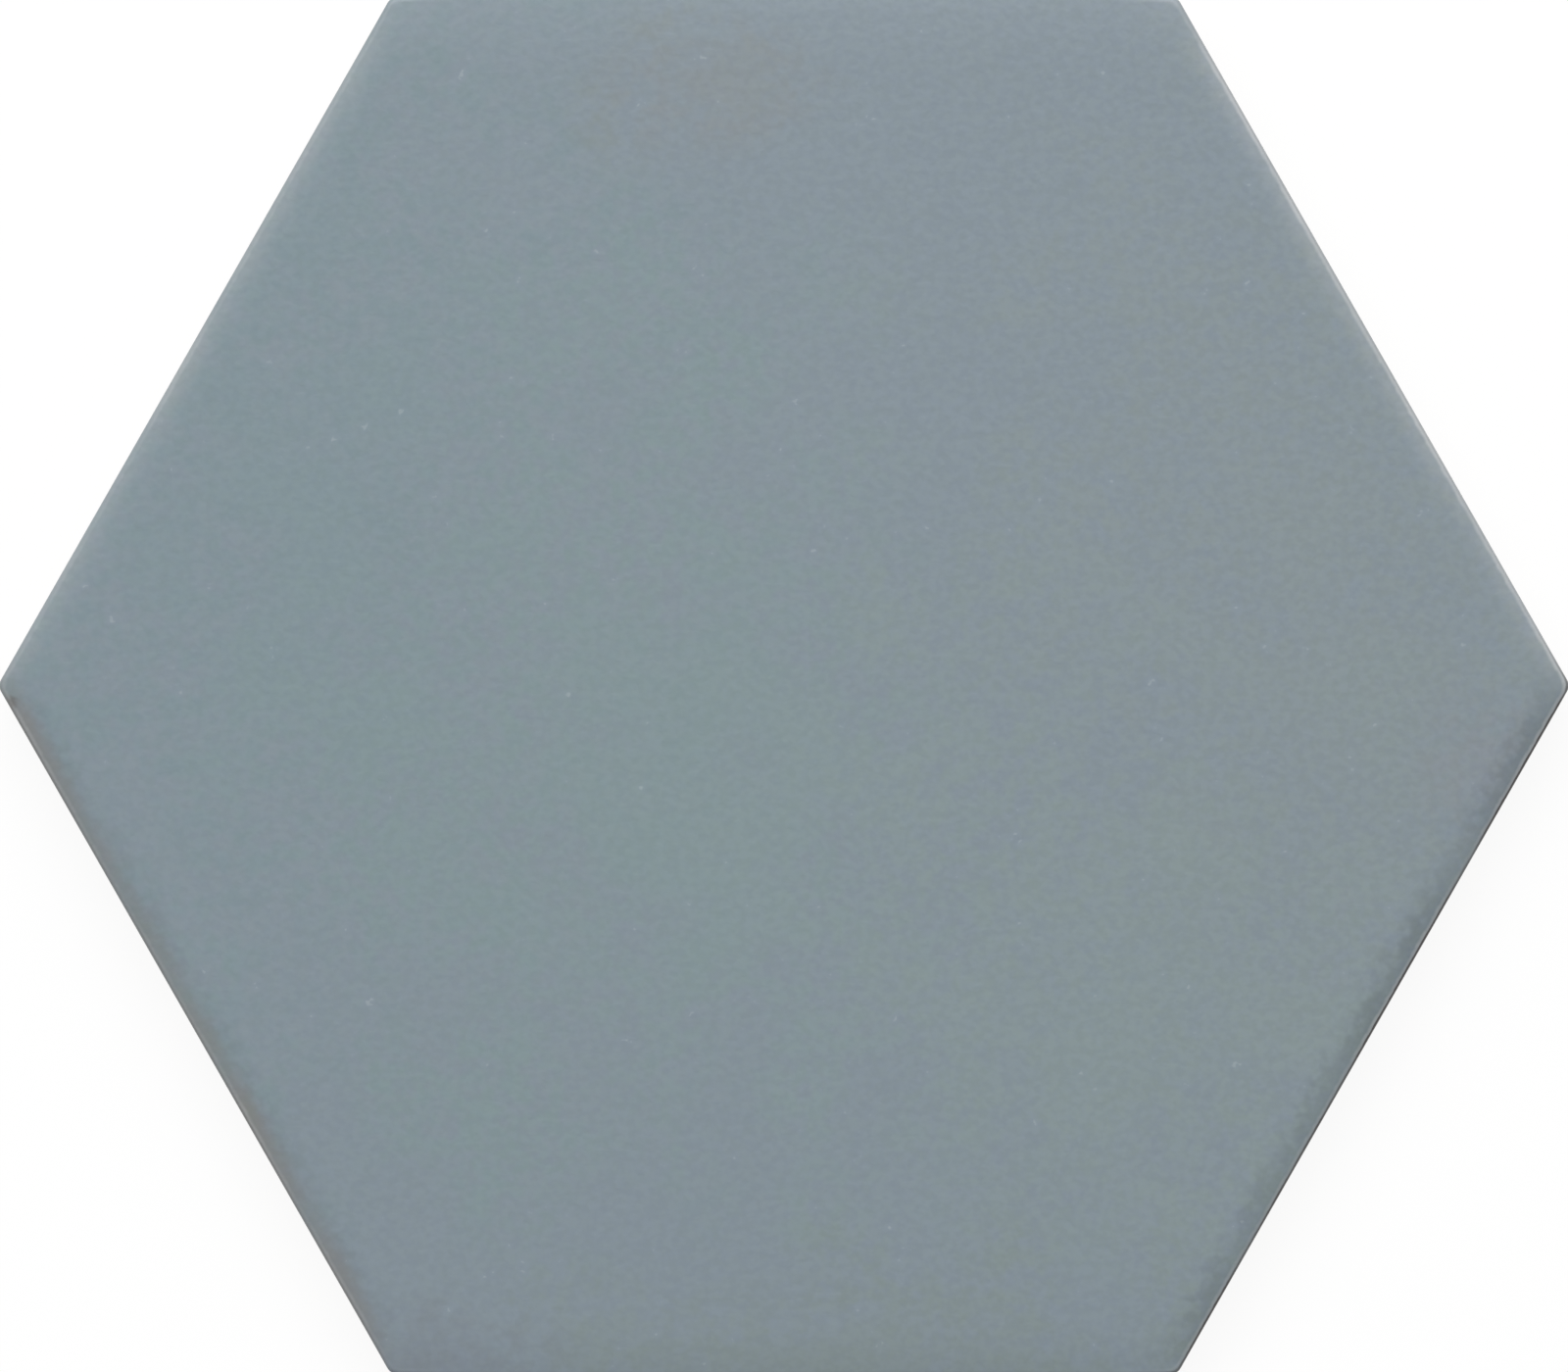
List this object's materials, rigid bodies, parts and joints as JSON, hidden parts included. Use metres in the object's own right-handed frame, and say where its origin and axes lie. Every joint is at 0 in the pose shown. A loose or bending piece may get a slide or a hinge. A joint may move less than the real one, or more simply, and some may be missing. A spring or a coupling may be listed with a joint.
{
  "type": "hexagon floor tile",
  "caption": "Flat six-sided porcelain floor tile with a softly crowned, glazed blue-grey face, rounded arrises and a honeycomb of shallow keys pressed into its back.",
  "frame": {"origin": "middle of the back plane that the tile beds on", "axes": "+X from pointed corner to pointed corner, +Y from flat edge to flat edge, +Z out of the glazed face"},
  "size_m": [0.1996, 0.175, 0.009],
  "materials": {
    "glaze": "satin"
  },
  "bodies": {
    "root": {"hexagon_tile": "glaze"}
  },
  "joints": []
}
